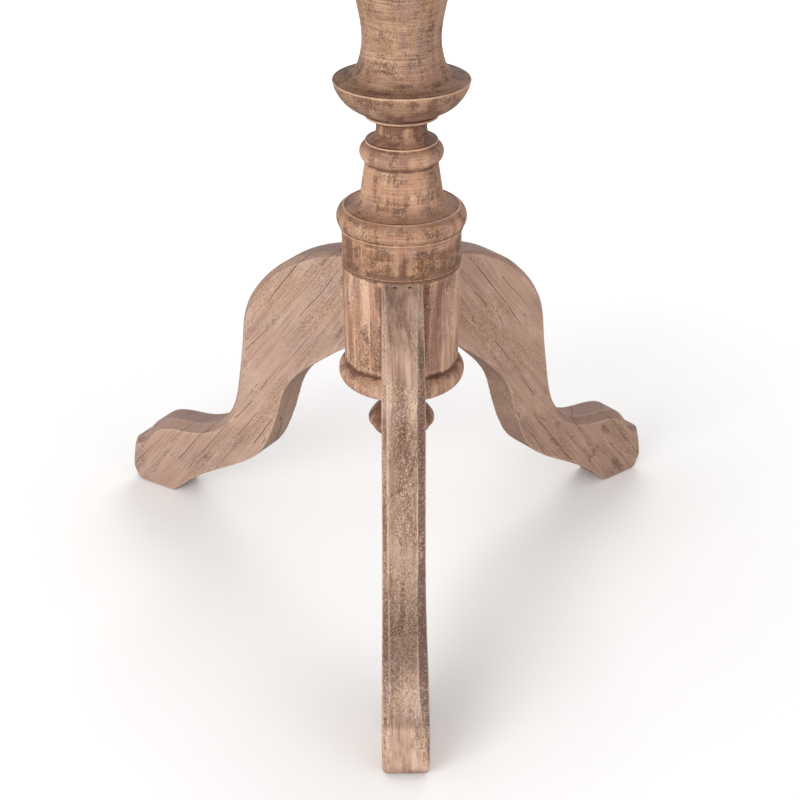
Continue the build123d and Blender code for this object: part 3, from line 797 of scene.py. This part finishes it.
def board(node, disc, seed):
    """One plank: the part of the disc between its two joints, with the joint edges eased."""
    low, high = (v[1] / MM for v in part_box(node))
    ease, next_row = 1.2, 1.6
    bm = disc.copy()
    for y, side in ((low, -1), (high, 1)):
        if abs(y) > top_radius - 1:
            continue
        everything = bm.verts[:] + bm.edges[:] + bm.faces[:]
        bmesh.ops.bisect_plane(bm, geom=everything, plane_co=(0, y * MM, 0), plane_no=(0, side, 0),
                               clear_outer=True)
        for inset in (ease, ease + next_row):
            everything = bm.verts[:] + bm.edges[:] + bm.faces[:]
            bmesh.ops.bisect_plane(bm, geom=everything, plane_co=(0, (y - side * inset) * MM, 0),
                                   plane_no=(0, side, 0))
        for vertex in bm.verts:
            if abs(vertex.co.y / MM - y) < 0.01 and vertex.co.z / MM > top_high - 0.01:
                vertex.co.z -= ease * MM
        rim = [e for e in bm.edges if e.is_boundary]
        bmesh.ops.edgeloop_fill(bm, edges=rim)
    bmesh.ops.recalc_face_normals(bm, faces=bm.faces[:])
    mesh = bpy.data.meshes.new(f"{node}_worn")
    bm.to_mesh(mesh)
    bm.free()
    piece = bpy.data.objects.new(mesh.name, mesh)
    bpy.context.collection.objects.link(piece)
    grain = put_grain(piece, (1, 0, 0), (0, 1, 0), seed)
    points = get_points(piece)
    on_top = smooth_step(top_high - 4, top_high - 0.5, points[:, 2])
    # hollows where the plank was planed by hand, and a faint cup across it
    middle = (low + high) / 2
    cup = 0.35 * (1 - ((points[:, 1] - middle) / (high - low) * 2) ** 2)
    planed = 0.28 * (noise(grain, (34, 34, 130), seed + 3, 2) + 1) / 2
    fibres = 0.12 * (noise(grain, (5, 5, 90), seed + 6) + 1) / 2
    dents = 0.6 * smooth_step(0.5, 0.8, noise(grain, (13, 13, 16), seed + 9, 2))
    points[:, 2] -= on_top * (cup + planed + fibres + dents)
    radius = np.maximum(np.hypot(points[:, 0], points[:, 1]), 1)
    rim = smooth_step(top_radius - 6, top_radius - 1, radius)
    bruise = rim * smooth_step(0.1, 0.8, noise(grain, (12, 12, 20), seed + 12)) * 0.9
    points[:, :2] *= (1 - bruise / radius)[:, None]
    set_points(piece, points)
    put_wear(piece, node, fine=2, broad=6)
    tint = np.random.default_rng(seed).uniform(0, 0.7)
    put_value(piece, "darkened", np.full(len(points), tint))
    return piece


disc = whole_disc(rings=110, segments=420)
for seed, node in enumerate(BOARDS, 51):
    stand_for(board(node, disc, seed), node, top_wood)
disc.free()

# ---------------------------------------------------------------- metal fittings and hidden wood

def head_centres(node, facing):
    """Middles of the outer faces of a node's screws, whose heads all face the same way."""
    head_size = 10
    points = get_points(nodes[node])
    height = points @ np.array(facing)
    ends = points[height > height.max() - 0.05]
    centres = []
    while len(ends):
        near = np.hypot(*(ends - ends[0]).T[np.array(facing) == 0]) < head_size
        centres.append((ends[near].min(0) + ends[near].max(0)) / 2)
        ends = ends[~near]
    return centres


def slotted(node, facing, seed):
    """A node's screws, with a slot cut across each head and no two slots lined up."""
    length, width, depth = 9.0, 1.1, 0.9
    rng = np.random.default_rng(seed)
    out = Vector(facing)
    corners, faces = [], []
    box_faces = ((0, 1, 3, 2), (4, 6, 7, 5), (0, 4, 5, 1), (2, 3, 7, 6), (0, 2, 6, 4), (1, 5, 7, 3))
    for centre in head_centres(node, facing):
        along = Vector((out.y, out.z, out.x))
        along.rotate(Quaternion(out, rng.uniform(0, pi)))
        side = out.cross(along)
        start = len(corners)
        for x in (-length / 2, length / 2):
            for y in (-width / 2, width / 2):
                for z in (-depth, 1.0):
                    corners.append(Vector(centre) + along * x + side * y + out * z)
        faces.extend([start + i for i in face] for face in box_faces)
    cutter = new_piece("cutter", corners, faces)
    piece = bpy.data.objects.new(f"{node}_slotted", nodes[node].data.copy())
    bpy.context.collection.objects.link(piece)
    weld = piece.modifiers.new("weld", "WELD")
    weld.merge_threshold = 0.001 * MM
    cut = piece.modifiers.new("cut", "BOOLEAN")
    cut.object = cutter
    cut.solver = "EXACT"
    graph = bpy.context.evaluated_depsgraph_get()
    mesh = bpy.data.meshes.new_from_object(piece.evaluated_get(graph))
    piece.modifiers.clear()
    piece.data = mesh
    bpy.data.objects.remove(cutter)
    return piece


def screws(node, facing, seed, material):
    """Slotted screws in a CAD node's place."""
    piece = slotted(node, facing, seed)
    set_material(piece, material)
    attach(piece, body_of[node])
    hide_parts(node)


BRASS_NODES = ("strike_plate", "bolt_plate", "bolt_rod", "bolt_knob", "pivot_pin_left",
               "pivot_pin_right")
for slot, material, kept in (("brass", old_brass, BRASS_NODES),
                             ("iron", old_iron, ("leg_brads",)),
                             ("frame_wood", hidden_wood, ("tenon_wedge", "board_splines"))):
    for node in kept:
        set_material(nodes[node], material)
screws("strike_screws", (0, -1, 0), 71, old_brass)
screws("bolt_plate_screws", (0, 0, -1), 72, old_brass)
screws("cleat_screws", (0, 0, -1), 73, old_iron)

# ---------------------------------------------------------------- floor, light and camera

def area_light(name, place, target, width, height, power):
    data = bpy.data.lights.new(name, "AREA")
    data.shape = "RECTANGLE"
    data.size = width
    data.size_y = height
    data.energy = power
    light = bpy.data.objects.new(name, data)
    light.location = place
    light.rotation_euler = (Vector(target) - Vector(place)).to_track_quat("-Z", "Y").to_euler()
    bpy.context.collection.objects.link(light)


floor_shader = Shader("pale_floor")
floor_place = floor_shader.add("ShaderNodeTexCoord", {}, "Object")
floor_tone = floor_shader.mix(floor_shader.noise(floor_place, 3.0), (0.93, 0.93, 0.93, 1),
                              (0.95, 0.95, 0.95, 1))
floor_half, floor_gap = 15.0, 0.0002
corners = np.array([(-1, -1, 0), (1, -1, 0), (1, 1, 0), (-1, 1, 0)]) * floor_half / MM
floor = new_piece("floor", corners, [(0, 1, 2, 3)])
floor.location.z = -floor_gap
set_material(floor, floor_shader.finish({"Base Color": floor_tone, "Roughness": 0.9,
                                         "Specular IOR Level": 0.1}))

world = bpy.data.worlds.new("studio")
bpy.context.scene.world = world
world.use_nodes = True
background = world.node_tree.nodes["Background"]
background.inputs["Color"].default_value = (1, 1, 1, 1)
background.inputs["Strength"].default_value = 0.75
bpy.context.scene.view_settings.view_transform = "Standard"

area_light("key", (-1.7, -2.5, 1.1), (0, 0, 0.35), 1.8, 1.6, 70)
area_light("fill", (1.9, -2.2, 0.9), (0, 0, 0.35), 1.6, 1.6, 20)
area_light("back", (0.4, 2.8, 1.8), (0, 0, 0.5), 2.0, 1.6, 40)

camera_data = bpy.data.cameras.new("camera")
camera_data.sensor_width = 36
camera_data.lens = 76.23
camera = bpy.data.objects.new("camera", camera_data)
camera.location = (-0.0015, -1.5, 0.97236)
camera_dip = 0.48323
camera.rotation_euler = (pi / 2 - camera_dip, 0, 0)
bpy.context.collection.objects.link(camera)
bpy.context.scene.camera = camera
